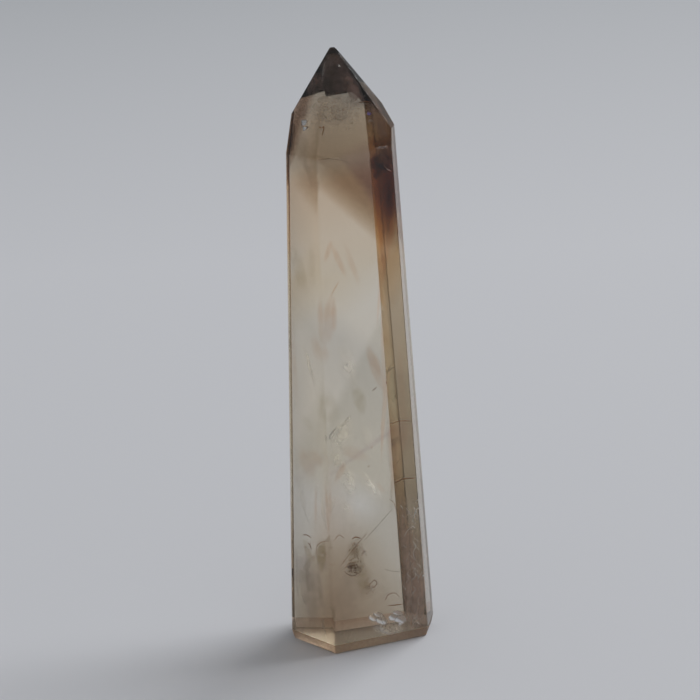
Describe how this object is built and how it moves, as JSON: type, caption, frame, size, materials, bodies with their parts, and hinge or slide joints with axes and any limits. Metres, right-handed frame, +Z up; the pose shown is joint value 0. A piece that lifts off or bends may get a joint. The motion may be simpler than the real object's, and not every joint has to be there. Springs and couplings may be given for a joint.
{
  "type": "citrine crystal point",
  "caption": "Polished smoky citrine point: a clear tapering hexagonal crystal with a faceted tip and a bevelled flat base it stands on.",
  "frame": {"origin": "middle of the flat base, on the surface that it stands on", "axes": "+Z up the crystal towards its tip; -Y towards the broad front face, which is turned about 19 degrees towards +X"},
  "size_m": [0.0188, 0.0128, 0.0782],
  "materials": {
    "citrine": "Clear polished quartz with a smoky honey tint, brownish veils and small healed cracks inside."
  },
  "bodies": {
    "root": {"crystal_point": "citrine"}
  },
  "joints": []
}
